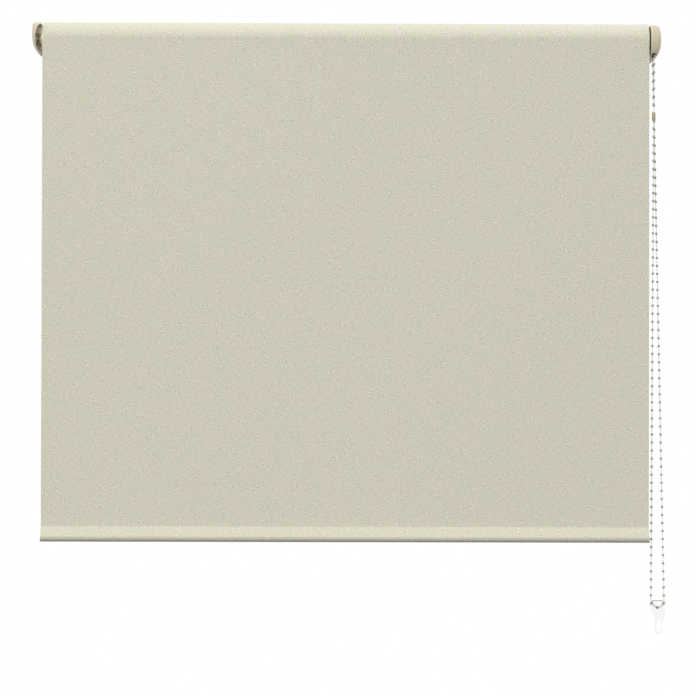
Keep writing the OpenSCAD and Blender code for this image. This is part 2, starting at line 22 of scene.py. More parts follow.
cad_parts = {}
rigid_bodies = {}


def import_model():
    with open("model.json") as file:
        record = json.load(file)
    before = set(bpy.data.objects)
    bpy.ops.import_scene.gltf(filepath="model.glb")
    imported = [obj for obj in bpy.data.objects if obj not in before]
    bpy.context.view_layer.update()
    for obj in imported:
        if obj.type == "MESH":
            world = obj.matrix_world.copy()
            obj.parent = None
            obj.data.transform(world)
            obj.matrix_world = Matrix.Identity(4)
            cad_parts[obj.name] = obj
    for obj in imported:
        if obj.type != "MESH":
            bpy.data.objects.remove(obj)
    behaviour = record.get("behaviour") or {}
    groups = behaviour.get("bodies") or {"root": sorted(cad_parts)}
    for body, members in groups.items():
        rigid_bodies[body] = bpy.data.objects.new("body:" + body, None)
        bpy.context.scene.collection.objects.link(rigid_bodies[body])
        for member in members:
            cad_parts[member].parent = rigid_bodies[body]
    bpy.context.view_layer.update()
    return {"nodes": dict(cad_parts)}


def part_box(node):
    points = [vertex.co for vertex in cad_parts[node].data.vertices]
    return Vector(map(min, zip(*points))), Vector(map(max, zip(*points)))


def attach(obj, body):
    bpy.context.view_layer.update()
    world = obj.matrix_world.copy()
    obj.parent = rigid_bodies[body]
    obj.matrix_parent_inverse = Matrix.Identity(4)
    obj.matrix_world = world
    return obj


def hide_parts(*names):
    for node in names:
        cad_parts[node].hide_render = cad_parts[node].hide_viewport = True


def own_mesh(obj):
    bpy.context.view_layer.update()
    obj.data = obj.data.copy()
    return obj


log = logging.getLogger("roller_blind")

MM = 0.001
# Y of the tube's axis
AXIS_Y = -38 * MM
# Points closer than this are one point
MERGE = 0.002 * MM
# Points this close to a plane lie on it
NEAR = 0.01 * MM
# How far a cutting tool reaches past what it cuts
PAST = MM
# Rounding of the sharp edges of most pieces
FINE_EDGE = 0.25 * MM

Piece = bpy.types.Object
Socket = bpy.types.NodeSocket
Colour = tuple[float, float, float, float]


class Body(Enum):
    """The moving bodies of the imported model."""

    FRAME = "frame"
    ROLLER = "roller"
    PIN = "pin"
    BAR = "bar"


class Side(Enum):
    """The two ends of the blind, each with the sign of its X."""

    IDLE = -1
    CONTROL = 1


def srgb(red: float, green: float, blue: float) -> Colour:
    """Turns a colour as seen on a screen into the linear one that a shader takes.

    Args:
        red: Red from 0 to 255.
        green: Green from 0 to 255.
        blue: Blue from 0 to 255.

    Returns:
        The linear colour with full alpha.
    """

    def linear(level: float) -> float:
        """Undoes the screen curve of one channel."""
        part = level / 255
        return part / 12.92 if part <= 0.04045 else ((part + 0.055) / 1.055) ** 2.4

    return (linear(red), linear(green), linear(blue), 1.0)


# Modelling by hand


def start_clean() -> None:
    """Leaves edit mode and drops every selection."""
    active = bpy.context.view_layer.objects.active
    if active is not None and active.mode != "OBJECT":
        bpy.ops.object.mode_set(mode="OBJECT")
    bpy.ops.object.select_all(action="DESELECT")


def take(piece: Piece) -> None:
    """Makes a piece the only selected and active one."""
    start_clean()
    piece.select_set(True)
    bpy.context.view_layer.objects.active = piece


def added(name: str) -> Piece:
    """Names the primitive that was just added and puts its place into its mesh.

    Args:
        name: Name for the new piece.

    Returns:
        The new piece, at the origin, unturned and unscaled.
    """
    piece = bpy.context.active_object
    piece.name = name
    piece.data.name = name
    bpy.ops.object.transform_apply(location=True, rotation=True, scale=True)
    return piece


@contextmanager
def editing(piece: Piece) -> Iterator[None]:
    """Opens a piece in edit mode and closes it again.

    Args:
        piece: The piece to edit.

    Yields:
        Nothing; operators act on the piece inside the block.
    """
    take(piece)
    bpy.ops.object.mode_set(mode="EDIT")
    yield
    bpy.ops.object.mode_set(mode="OBJECT")


def pick_edges(piece: Piece, wanted: Callable[[Vector], bool]) -> None:
    """Selects edges of the mesh that is open in edit mode.

    Args:
        piece: The piece in edit mode.
        wanted: Test that both ends of an edge have to pass.
    """
    bpy.ops.mesh.select_mode(type="EDGE")
    bpy.ops.mesh.select_all(action="DESELECT")
    form = bmesh.from_edit_mesh(piece.data)
    for edge in form.edges:
        if all(wanted(end.co) for end in edge.verts):
            edge.select_set(True)
    bmesh.update_edit_mesh(piece.data)


def pick_all() -> None:
    """Selects every face of the mesh that is open in edit mode."""
    bpy.ops.mesh.select_mode(type="FACE")
    bpy.ops.mesh.select_all(action="SELECT")


def cut_flat(piece: Piece, point: Vector, away: Vector) -> None:
    """Cuts a piece with a plane, closes the cut and drops what lies beyond it.

    Args:
        piece: The piece to cut.
        point: A point on the plane.
        away: Direction of the side that is dropped.
    """
    with editing(piece):
        pick_all()
        bpy.ops.mesh.bisect(plane_co=point, plane_no=away, use_fill=True, clear_outer=True)


def modify(piece: Piece, kind: str, **settings: Any) -> None:
    """Adds a modifier to a piece and applies it.

    Args:
        piece: The piece to change.
        kind: Blender's name for the modifier.
        **settings: Values for the modifier.
    """
    take(piece)
    modifier = piece.modifiers.new(kind.title(), kind)
    for name, value in settings.items():
        setattr(modifier, name, value)
    bpy.ops.object.modifier_apply(modifier=modifier.name)


def carve(piece: Piece, cutter: Piece, operation: str = "DIFFERENCE") -> None:
    """Cuts one solid out of another, or joins them, and removes the tool.

    Args:
        piece: The solid that stays.
        cutter: The solid that is used up.
        operation: Blender's name for what is done.
    """
    modify(piece, "BOOLEAN", object=cutter, operation=operation, solver="EXACT")
    mesh = cutter.data
    bpy.data.objects.remove(cutter)
    bpy.data.meshes.remove(mesh)


def smooth(piece: Piece, angle: float = 35) -> Piece:
    """Shades a piece smooth but for edges sharper than an angle.

    Args:
        piece: The piece to shade.
        angle: The angle in degrees.

    Returns:
        The same piece.
    """
    take(piece)
    bpy.ops.object.shade_smooth_by_angle(angle=math.radians(angle))
    return piece


def ease_edges(piece: Piece, width: float) -> Piece:
    """Rounds the sharp edges of a piece and shades it.

    Args:
        piece: The piece to round.
        width: Width of the rounding.

    Returns:
        The same piece.
    """
    modify(
        piece,
        "BEVEL",
        width=width,
        segments=2,
        limit_method="ANGLE",
        angle_limit=math.radians(40),
        use_clamp_overlap=True,
        miter_outer="MITER_ARC",
    )
    return smooth(piece)


def merge_skin(piece: Piece) -> None:
    """Merges doubled points of a piece and turns its faces outwards."""
    with editing(piece):
        pick_all()
        bpy.ops.mesh.remove_doubles(threshold=MERGE)
        bpy.ops.mesh.normals_make_consistent(inside=False)


def disc_along_x(
    name: str, radius: float, start: float, end: float, axis: tuple[float, float], points: int = 64
) -> Piece:
    """Adds a cylinder that lies along X.

    Args:
        name: Name for the piece.
        radius: Its radius.
        start: Where it begins along X.
        end: Where it ends along X.
        axis: Y and Z of its axis.
        points: Points round it.

    Returns:
        The cylinder.
    """
    start_clean()
    bpy.ops.mesh.primitive_cylinder_add(
        vertices=points,
        radius=radius,
        depth=abs(end - start),
        location=((start + end) / 2, *axis),
        rotation=(0, math.pi / 2, 0),
    )
    return added(name)


def oval_along_y(name: str, middle: Vector, half_x: float, half_z: float, depth: float) -> Piece:
    """Adds an oval bar that lies along Y.

    Args:
        name: Name for the piece.
        middle: Middle of its end nearest the wall.
        half_x: Half its width.
        half_z: Half its height.
        depth: How far it reaches from the wall.

    Returns:
        The bar.
    """
    start_clean()
    bpy.ops.mesh.primitive_cylinder_add(
        vertices=96,
        radius=1,
        depth=depth,
        location=middle - Vector((0, depth / 2, 0)),
        rotation=(math.pi / 2, 0, 0),
        scale=(half_x, half_z, 1),
    )
    return added(name)


def block(name: str, low: Sequence[float], high: Sequence[float]) -> Piece:
    """Adds a box between two corners.

    Args:
        name: Name for the piece.
        low: Its lowest corner.
        high: Its highest corner.

    Returns:
        The box.
    """
    start_clean()
    low_corner, high_corner = Vector(low), Vector(high)
    bpy.ops.mesh.primitive_cube_add(size=1, location=(low_corner + high_corner) / 2)
    bpy.context.active_object.scale = high_corner - low_corner
    return added(name)


# Finishes


class NodeBoard:
    """The nodes of a material or of the world, and short ways to add and join them."""

    def __init__(self, owner: bpy.types.Material | bpy.types.World) -> None:
        """Opens the nodes.

        Args:
            owner: The material or the world.
        """
        owner.use_nodes = True
        self.owner = owner
        self.tree = owner.node_tree
        self.shader = self.tree.nodes.get("Principled BSDF")

    def add(
        self, kind: str, inputs: dict[Any, Any] | None = None, **settings: Any
    ) -> bpy.types.Node:
        """Adds a node.

        Args:
            kind: The node's type without its ShaderNode prefix.
            inputs: Values or sockets for its inputs, by name or number.
            **settings: Values for the node's own properties.

        Returns:
            The node.
        """
        node = self.tree.nodes.new("ShaderNode" + kind)
        for name, value in settings.items():
            setattr(node, name, value)
        for key, value in (inputs or {}).items():
            self.feed(node.inputs[key], value)
        return node

    def feed(self, socket: Socket, value: Any) -> None:
        """Sets a socket to a value or joins another socket to it."""
        if isinstance(value, Socket):
            self.tree.links.new(value, socket)
        else:
            socket.default_value = value

    def math(self, operation: str, first: Any, second: Any = 0.0) -> Socket:
        """Adds a sum of two values or sockets and returns its result."""
        return self.add("Math", {0: first, 1: second}, operation=operation).outputs[0]

    def noise(self, place: Any, scale: float, detail: float = 2.0) -> Socket:
        """Adds a cloud of noise and returns its level.

        Args:
            place: Socket with the coordinates.
            scale: Clouds per unit of the coordinates.
            detail: Octaves of finer noise.

        Returns:
            The socket of its level.
        """
        cloud = self.add("TexNoise", {"Vector": place, "Scale": scale, "Detail": detail})
        return cloud.outputs[0]

    def stretched(self, place: Any, scale: Sequence[float]) -> Socket:
        """Scales coordinates by a different number on each axis and returns them."""
        return self.add("Mapping", {"Vector": place, "Scale": scale}).outputs[0]

    def blend(self, factor: Any, first: Any, second: Any, kind: str = "MIX") -> Socket:
        """Adds a mix of two colours and returns it."""
        mix = self.add("Mix", data_type="RGBA", blend_type=kind)
        for place, value in ((0, factor), (6, first), (7, second)):
            self.feed(mix.inputs[place], value)
        return mix.outputs[2]

    def spread(
        self,
        level: Any,
        low: float,
        high: float,
        start: float = 0.3,
        end: float = 0.7,
        curve: str = "LINEAR",
    ) -> Socket:
        """Maps a level between two bounds on to a range of its own.

        Args:
            level: Socket with the level.
            low: Result at the first bound.
            high: Result at the second bound.
            start: The first bound.
            end: The second bound.
            curve: Blender's name for the way between them.

        Returns:
            The socket of the result.
        """
        bounds = {0: level, 1: start, 2: end, 3: low, 4: high}
        return self.add("MapRange", bounds, interpolation_type=curve).outputs[0]

    def bump(self, height: Any, depth: float, strength: float = 1.0) -> None:
        """Gives the shader a relief from a height of 0 to 1.

        Args:
            height: Socket with the height.
            depth: Real depth of the relief.
            strength: Share of the relief that shows.
        """
        relief = self.add("Bump", {"Height": height, "Distance": depth, "Strength": strength})
        self.feed(self.shader.inputs["Normal"], relief.outputs[0])

    def dress(self, **inputs: Any) -> bpy.types.Material:
        """Sets the shader's inputs, with spaces as underscores, and returns the material."""
        for name, value in inputs.items():
            title = name.replace("_", " ").title().replace("Ior", "IOR")
            self.feed(self.shader.inputs[title], value)
        return self.owner


@dataclass(frozen=True)
class Finish:
    """A surface, with the names of its material and of the slot that it fills."""

    name: str
    slot: str

    def start(self, chart: str = "Object") -> tuple[NodeBoard, Socket]:
        """Starts the material and returns its nodes and its coordinates."""
        board = NodeBoard(bpy.data.materials.new(self.name))
        return board, board.add("TexCoord").outputs[chart]

    def material(self) -> bpy.types.Material:
        """Builds the material; each kind of surface has its own way."""
        raise NotImplementedError


@dataclass(frozen=True)
class ScreenCloth(Finish):
    """Plain-woven screen fabric with slubs, on a UV map in metres."""

    warp: Colour
    weft: Colour
    pitch: float = 1.1 * MM
    slub_long: float = 7 * MM
    slub_thick: float = 1.3 * MM
    speckle: float = 2.2 * MM
    cluster: float = 14 * MM
    drift: float = 34 * MM
    across_tone: float = 0.06
    along_tone: float = 0.05
    fleck_tone: float = 0.24
    yarn_tone: float = 0.02
    cluster_range: Sequence[float] = (0.1, 1.0, 0.42, 0.66)
    warm: Colour = (1.024, 0.988, 1.0, 1.0)
    cool: Colour = (0.976, 1.01, 0.986, 1.0)
    relief: float = 0.12 * MM
    sheen: Colour = (0.85, 0.93, 1.0, 1.0)

    def material(self) -> bpy.types.Material:
        """Builds the weave, its slubs and its slow drift of tone."""
        board, place = self.start("UV")
        yarns = board.stretched(place, (1 / self.pitch, 1 / self.pitch, 1))
        crossing = board.add("TexChecker", {"Vector": yarns, "Scale": 1.0}).outputs["Fac"]
        parts = board.add("SeparateXYZ", {0: yarns}).outputs
        waves = [board.math("SINE", board.math("MULTIPLY", parts[i], math.pi)) for i in (0, 1)]
        warp, weft = (board.math("ABSOLUTE", wave) for wave in waves)
        height = board.add("Mix", {0: crossing, 2: warp, 3: weft}).outputs[0]

        long, thick = 1 / self.slub_long, 1 / self.slub_thick
        across = board.noise(board.stretched(place, (long, thick, 1)), 1.0)
        along = board.noise(board.stretched(place, (thick, long, 1)), 1.0)
        fleck = board.noise(place, 1 / self.speckle, 1.0)
        cluster = board.spread(board.noise(place, 1 / self.cluster, 1.0), *self.cluster_range)
        fine = self.yarn_tone
        lift = board.math("ADD", board.spread(height, -fine, fine, 0.0, 1.0), 1.0)
        for level, reach, share in (
            (across, self.across_tone, 1.0),
            (along, self.along_tone, 1.0),
            (fleck, self.fleck_tone, cluster),
        ):
            tone = board.math("MULTIPLY", share, board.spread(level, -reach, reach))
            lift = board.math("ADD", lift, tone)
        shade = board.add("CombineColor", {0: lift, 1: lift, 2: lift}).outputs[0]

        yarn = board.blend(crossing, self.warp, self.weft)
        slow = board.noise(place, 1 / self.drift, 2.0)
        tint = board.blend(board.spread(slow, 0.0, 1.0), self.warm, self.cool)
        colour = board.blend(1.0, yarn, tint, "MULTIPLY")
        colour = board.blend(1.0, colour, shade, "MULTIPLY")
        board.bump(board.math("ADD", height, board.math("MULTIPLY", across, 0.5)), self.relief, 0.5)
        return board.dress(
            base_color=colour,
            roughness=0.82,
            specular_ior_level=0.25,
            sheen_weight=0.35,
            sheen_roughness=0.4,
            sheen_tint=self.sheen,
        )


@dataclass(frozen=True)
class MouldedPlastic(Finish):
    """Injection-moulded plastic with a fine spark-eroded grain and a little uneven tone."""

    light: Colour
    dark: Colour
    roughness: float = 0.42
    shine: float = 0.45
    grain: float = 0.35 * MM
    relief: float = 0.02 * MM
    cloud: float = 9 * MM

    def material(self) -> bpy.types.Material:
        """Builds the tone, the grain and the uneven gloss."""
        board, place = self.start()
        slow = board.noise(place, 1 / self.cloud, 3.0)
        fine = board.noise(place, 1 / self.grain, 2.0)
        colour = board.blend(board.spread(slow, 0.0, 1.0), self.light, self.dark)
        gloss = board.spread(fine, self.roughness - 0.06, self.roughness + 0.08)
        board.bump(fine, self.relief, 0.6)
        return board.dress(base_color=colour, roughness=gloss, specular_ior_level=self.shine)


@dataclass(frozen=True)
class ClearPlastic(Finish):
    """Clear moulded plastic with faint flow lines, and painted shade that darkens its edges."""

    tint: Colour
    painted_edge_shade: Colour
    roughness: float = 0.03
    flow: float = 6 * MM

    def material(self) -> bpy.types.Material:
        """Builds the clear body, the flow lines in its gloss and the painted shade on its edges."""
        board, place = self.start()
        fine = 1 / self.flow
        lines = board.noise(board.stretched(place, (fine, fine, fine / 4)), 1.0, 3.0)
        gloss = board.spread(lines, self.roughness, self.roughness + 0.03)
        board.bump(lines, 0.01 * MM, 0.3)
        # Painted shade: the colour turns dark grey where the surface turns edge-on, standing in for
        # the dark outlines that refraction gives clear edges
        slope = board.add("LayerWeight", {"Blend": 0.5}).outputs["Facing"]
        colour = board.blend(board.spread(slope, 0.0, 1.0, 0.35, 0.85), self.tint, self.painted_edge_shade)
        return board.dress(base_color=colour, roughness=gloss, transmission_weight=1.0, ior=1.49)


@dataclass(frozen=True)
class BareMetal(Finish):
    """Metal with a fine direction in its surface."""

    colour: Colour
    roughness: float
    lines: tuple[float, float, float]
    patch: float = 14 * MM
    worn: float = 0.86

    def material(self) -> bpy.types.Material:
        """Builds the fine lines, the dull patches and the metal itself."""
        board, place = self.start()
        strokes = board.noise(board.stretched(place, self.lines), 1.0, 2.0)
        patches = board.noise(place, 1 / self.patch, 3.0)
        dull = board.math("ADD", board.spread(strokes, -0.07, 0.07), self.roughness)
        dull = board.math("ADD", dull, board.spread(patches, -0.05, 0.08))
        dark = (*(self.worn * part for part in self.colour[:3]), 1.0)
        tone = board.blend(board.spread(patches, 0.0, 1.0), self.colour, dark)
        board.bump(strokes, 0.01 * MM, 0.5)
        return board.dress(base_color=tone, metallic=1.0, roughness=dull)


CLOTH = ScreenCloth("screen_cloth", "screen_fabric", srgb(220, 216, 200), srgb(205, 201, 183))
CREAM = MouldedPlastic("cream_moulding", "cream_plastic", srgb(232, 224, 199), srgb(222, 210, 181))
# A slightly darker, yellower copy of the cream plastic for the control cover: painted shade and
# reflection tint for its rounded face
CREAM_SHADED = MouldedPlastic("cream_moulding_shaded", "cream_plastic", srgb(230, 222, 191), srgb(219, 210, 176))
WHITE = MouldedPlastic("white_moulding", "white_plastic", srgb(240, 239, 230), srgb(231, 230, 219))
# Near-black brown for the drive hub: partly the hub's own plastic, partly painted shade, so that
# the narrow gap between the roll and the guard shows dark
DARK_HUB_SHADE = MouldedPlastic("dark_hub_shade", "dark_plastic", srgb(30, 24, 10), srgb(23, 18, 8), 0.6, 0.12)
CORD = MouldedPlastic("chain_line", "chain_plastic", srgb(236, 237, 230), srgb(229, 230, 222), 0.5)
BEADS = MouldedPlastic(
    "bead_moulding", "chain_plastic", srgb(186, 186, 176), srgb(168, 168, 158), 0.3
)
TAN = MouldedPlastic("tan_moulding", "tan_plastic", srgb(196, 182, 152), srgb(176, 160, 128), 0.35)
# The clear plastic's second colour is painted shade for its edges
CLEAR = ClearPlastic("clear_moulding", "clear_plastic", srgb(248, 249, 247), srgb(70, 72, 70))
TAPE = MouldedPlastic("tape_film", "tape", srgb(235, 235, 230), srgb(226, 226, 220), 0.3)
ALUMINIUM = BareMetal("drawn_aluminium", "aluminium", srgb(206, 207, 208), 0.34, (8, 2500, 2500))
ZINC = BareMetal("zinc_plate", "zinc_steel", srgb(178, 169, 142), 0.46, (900, 900, 900))
SPRING = BareMetal("spring_wire", "spring_steel", srgb(142, 143, 146), 0.3, (1500, 1500, 1500))


@dataclass
class Workshop:
    """What every sub-assembly needs at hand: the frame's nodes and the finishes."""

    nodes: dict[str, Piece]
    made: dict[str, bpy.types.Material] = field(default_factory=dict)

    def material(self, finish: Finish) -> bpy.types.Material:
        """Returns the material of a finish, made when it is first asked for."""
        if finish.name not in self.made:
            self.made[finish.name] = finish.material()
        return self.made[finish.name]

    def coat(self, piece: Piece, finish: Finish) -> None:
        """Gives a new piece or a node of the frame one finish all over."""
        piece.data.materials.clear()
        piece.data.materials.append(self.material(finish))

    def coat_faces(self, piece: Piece, finish: Finish, count: int) -> None:
        """Gives the first faces of a piece another finish.

        Args:
            piece: A new piece that has its main finish.
            finish: The finish for these faces.
            count: How many faces take it.
        """
        piece.data.materials.append(self.material(finish))
        for face in list(piece.data.polygons)[:count]:
            face.material_index = len(piece.data.materials) - 1

    def fit(self, piece: Piece, body: Body, finish: Finish, *replaced: str) -> Piece:
        """Dresses a finished piece and hangs it on its body.

        Args:
            piece: The finished piece.
            body: The body that carries it.
            finish: Its finish.
            *replaced: Nodes of the frame that it stands for.

        Returns:
            The same piece.
        """
        self.coat(piece, finish)
        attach(piece, body.value)
        if replaced:
            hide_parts(*replaced)
        log.info("%s: %d faces on %s", piece.name, len(piece.data.polygons), body.value)
        return piece

    def copy_of(self, node: str, name: str, edge: float) -> Piece:
        """Copies a node of the frame, merges its skin and rounds its sharp edges.

        Args:
            node: The node to copy.
            name: Name for the copy.
            edge: Width of the rounding, or 0 to keep the edges.

        Returns:
            The copy.
        """
        take(self.nodes[node])
        bpy.ops.object.duplicate()
        piece = bpy.context.active_object
        bpy.ops.object.parent_clear(type="CLEAR")
        for key in list(piece.keys()):
            del piece[key]
        piece.name = name
        piece.data.name = name
        with editing(piece):
            pick_all()
            bpy.ops.mesh.remove_doubles(threshold=MERGE)
            bpy.ops.mesh.dissolve_limited(angle_limit=math.radians(0.5))
        return ease_edges(piece, edge) if edge else smooth(piece)

    def fit_copy(
        self, node: str, name: str, body: Body, finish: Finish, edge: float = FINE_EDGE
    ) -> Piece:
        """Fits a copy of a node in its place.

        Args:
            node: The node to copy.
            name: Name for the copy.
            body: The body that carries it.
            finish: Its finish.
            edge: Width of the rounding, or 0 to keep the edges.

        Returns:
            The copy.
        """
        return self.fit(self.copy_of(node, name, edge), body, finish, node)

    def plate(self, side: Side, corner: float = 4.5 * MM) -> None:
        """Builds a bracket with the outer corners of its flange cut off.

        Args:
            side: The end of the blind that it carries.
            corner: Length of the cut along each side of the corner.
        """
        name, sign = side.name.lower(), side.value
        low, high = (Vector(point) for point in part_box(name + "_bracket"))
        plate = self.copy_of(name + "_bracket", name + "_plate", FINE_EDGE)
        edge = (high if sign > 0 else low).x
        for end, z in ((-1, low.z), (1, high.z)):
            away = Vector((sign, 0, end)).normalized()
            cut_flat(plate, Vector((edge - sign * corner, 0, z)), away)
        self.fit(smooth(plate), Body.FRAME, ZINC, name + "_bracket")


# The blind's sub-assemblies


@dataclass(frozen=True)
class DropSection:
    """Section of the bar or its hem: a round foot, a small round tip and straight sides."""

    foot: float
    tip: float
    rise: float

    @property
    def lean(self) -> float:
        """Angle of the straight sides from upright, in radians."""
        return math.asin((self.foot - self.tip) / self.rise)

    def grown(self, skin: float) -> "DropSection":
        """Returns the section set out by a skin all round."""
        return DropSection(self.foot + skin, self.tip + skin, self.rise)

    def at(self, angle: float) -> tuple[float, float]:
        """Finds the point of the outline that faces one way.

        Args:
            angle: Direction that it faces, from the front up over the tip, in radians.

        Returns:
            Its Y and Z from the middle of the foot.
        """
        up = math.sin(angle)
        radius, lift = (self.tip, self.rise) if up > math.sin(self.lean) else (self.foot, 0.0)
        return (-radius * math.cos(angle), lift + radius * up)


BAR = DropSection(6.25 * MM, 1.6 * MM, 11.644 * MM)
HEM = DropSection(6.25 * MM, 0.0, 15.65 * MM)
HEM_SKIN = 0.55 * MM


@dataclass
class FabricShade:
    """The fabric: wound on the tube, hanging in front, and closed round the bar as a hem."""

    shop: Workshop
    axis_y: float = AXIS_Y
    width: float = 900 * MM
    drop: float = 722 * MM
    thickness: float = 0.45 * MM
    lap: float = 0.55 * MM
    laps: int = 4
    roll_last: float = 24.05 * MM
    weld: float = 1.5 * MM
    steps_a_lap: int = 72
    columns: int = 90
    rows: int = 72
    roll_columns: int = 12
    lift: float = 701 * MM
    waver: float = 0.5 * MM
    seam: float = 0.001

    @property
    def outer(self) -> float:
        """Radius of the middle of the outermost lap."""
        return self.roll_last + self.thickness / 2

    @property
    def face_y(self) -> float:
        """Y of the middle of the hanging fabric."""
        return self.axis_y - self.outer

    def lay(self, name: str, route: Sequence[tuple[float, float]], columns: int) -> Piece:
        """Lays a flat strip of cloth along a route in the YZ plane.

        Args:
            name: Name for the strip.
            route: Points (y, z) of the middle of the cloth.
            columns: Faces across the width.

        Returns:
            The strip without thickness, with a UV map in metres.
        """
        start_clean()
        rows = len(route) - 1
        bpy.ops.mesh.primitive_grid_add(x_subdivisions=columns, y_subdivisions=rows, size=1)
        strip = added(name)
        run = [0.0]
        for (y0, z0), (y1, z1) in zip(route, route[1:]):
            run.append(run[-1] + math.hypot(y1 - y0, z1 - z0))
        row_of = [round((point.co.y + 0.5) * rows) for point in strip.data.vertices]
        for point, row in zip(strip.data.vertices, row_of):
            point.co = Vector((point.co.x * self.width, *route[row]))
        chart = strip.data.uv_layers.active.data
        for corner in strip.data.loops:
            point = strip.data.vertices[corner.vertex_index]
            chart[corner.index].uv = (point.co.x, -run[row_of[corner.vertex_index]])
        return strip

    def thicken(self, strip: Piece) -> Piece:
        """Gives a strip the thickness of the cloth."""
        modify(strip, "SOLIDIFY", thickness=self.thickness, offset=0.0, use_even_offset=True)
        return smooth(strip, 50)

    def panel(self) -> Piece:
        """Builds the hanging fabric, which wavers a little between the roll and the bar."""
        route = [(self.face_y, -self.drop * i / self.rows) for i in range(self.rows + 1)]
        strip = self.lay("shade_cloth", route, self.columns)
        for point in strip.data.vertices:
            down = -point.co.z / self.drop
            hold = math.sin(math.pi * down) ** 0.7 if 0 < down < 1 else 0.0
            long_wave = math.sin(9.1 * point.co.x + 1.3)
            short_wave = 0.6 * math.sin(17.3 * point.co.x + 2.0 * down)
            point.co.y += self.waver * hold * (long_wave + short_wave)
        return self.thicken(strip)

    def roll(self) -> Piece:
        """Builds the laps that stay on the tube, from the outermost inwards."""
        route = []
        for i in range(self.laps * self.steps_a_lap + 1):
            turn = 2 * math.pi * i / self.steps_a_lap
            radius = self.outer - self.lap * i / self.steps_a_lap
            route.append((self.axis_y - radius * math.cos(turn), radius * math.sin(turn)))
        return self.thicken(self.lay("shade_roll", route, self.roll_columns))

    def hem(self) -> Piece:
        """Builds the pocket round the bar, from the weld in front to the weld behind."""
        half = self.thickness / 2
        form = HEM.grown(HEM_SKIN - half)
        middle = -self.drop - self.weld - HEM_SKIN - HEM.rise
        close = math.acos(half / form.tip)
        weld_z = -self.drop - self.weld / 2
        route = [(self.face_y - half, -self.drop), (self.face_y - half, weld_z)]
        for start, end, steps in (
            (close, form.lean + self.seam, 8),
            (form.lean, -math.pi - form.lean, 48),
            (math.pi - form.lean - self.seam, math.pi - close, 8),
        ):
            for i in range(steps + 1):
                y, z = form.at(start + (end - start) * i / steps)
                route.append((self.face_y + y, middle + z))
        route += [(self.face_y + half, weld_z), (self.face_y + half, -self.drop)]
        return self.thicken(self.lay("shade_hem", route, self.columns))

    def build(self) -> None:
        hem = self.shop.fit(self.hem(), Body.BAR, CLOTH, "hem_pocket")
        self.shop.fit(self.roll(), Body.ROLLER, CLOTH, "fabric_roll")
        panel = self.shop.fit(self.panel(), Body.FRAME, CLOTH, "fabric_panel")
        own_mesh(panel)


@dataclass
class BottomBar:
    """The end caps of the bar in the hem."""

    shop: Workshop
    rim: float = 0.6 * MM
    stand: float = 0.3 * MM
    inset: float = 1.3 * MM
    plug: float = 12 * MM
    points: int = 96

    def prism(self, name: str, form: DropSection, start: float, end: float) -> Piece:
        """Builds a straight length of a drop section.

        Args:
            name: Name for the piece.
            form: The section.
            start: Where it begins along X.
            end: Where it ends along X.

        Returns:
            The piece.
        """
        low, high = (Vector(corner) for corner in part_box("bottom_bar"))
        foot_y, foot_z = (low.y + high.y) / 2, low.z + BAR.foot
        piece = disc_along_x(name, 1.0, start, end, (0, 0), self.points)
        for point in piece.data.vertices:
            y, z = form.at(math.atan2(point.co.z, -point.co.y))
            point.co = Vector((point.co.x, foot_y + y, foot_z + z))
        return piece

    def cap(self, side: Side) -> None:
        """Builds one cap with a rounded rim and its plug in the bar.

        Args:
            side: The end of the blind that it closes.
        """
        node = "bar_cap_right" if side is Side.CONTROL else "bar_cap_left"
        end = 1 if side is Side.CONTROL else 0
        seat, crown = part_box("bottom_bar")[end][0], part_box(node)[end][0]
        form = HEM.grown(HEM_SKIN + self.stand)
        cap = self.prism("bar_end_" + side.name.lower(), form, seat, crown)
        with editing(cap):
            pick_edges(cap, lambda end: abs(end.x - crown) < NEAR)
            bpy.ops.mesh.bevel(offset=self.rim, segments=5, profile=0.5, affect="EDGES")
        merge_skin(cap)
        inner, outer = seat - side.value * self.plug, seat + side.value * PAST
        carve(cap, self.prism("bar_plug", BAR.grown(-self.inset), inner, outer), "UNION")
        self.shop.fit(smooth(cap, 40), Body.BAR, WHITE, node)

    def build(self) -> None:
        """Builds both caps."""
        for side in Side:
            self.cap(side)


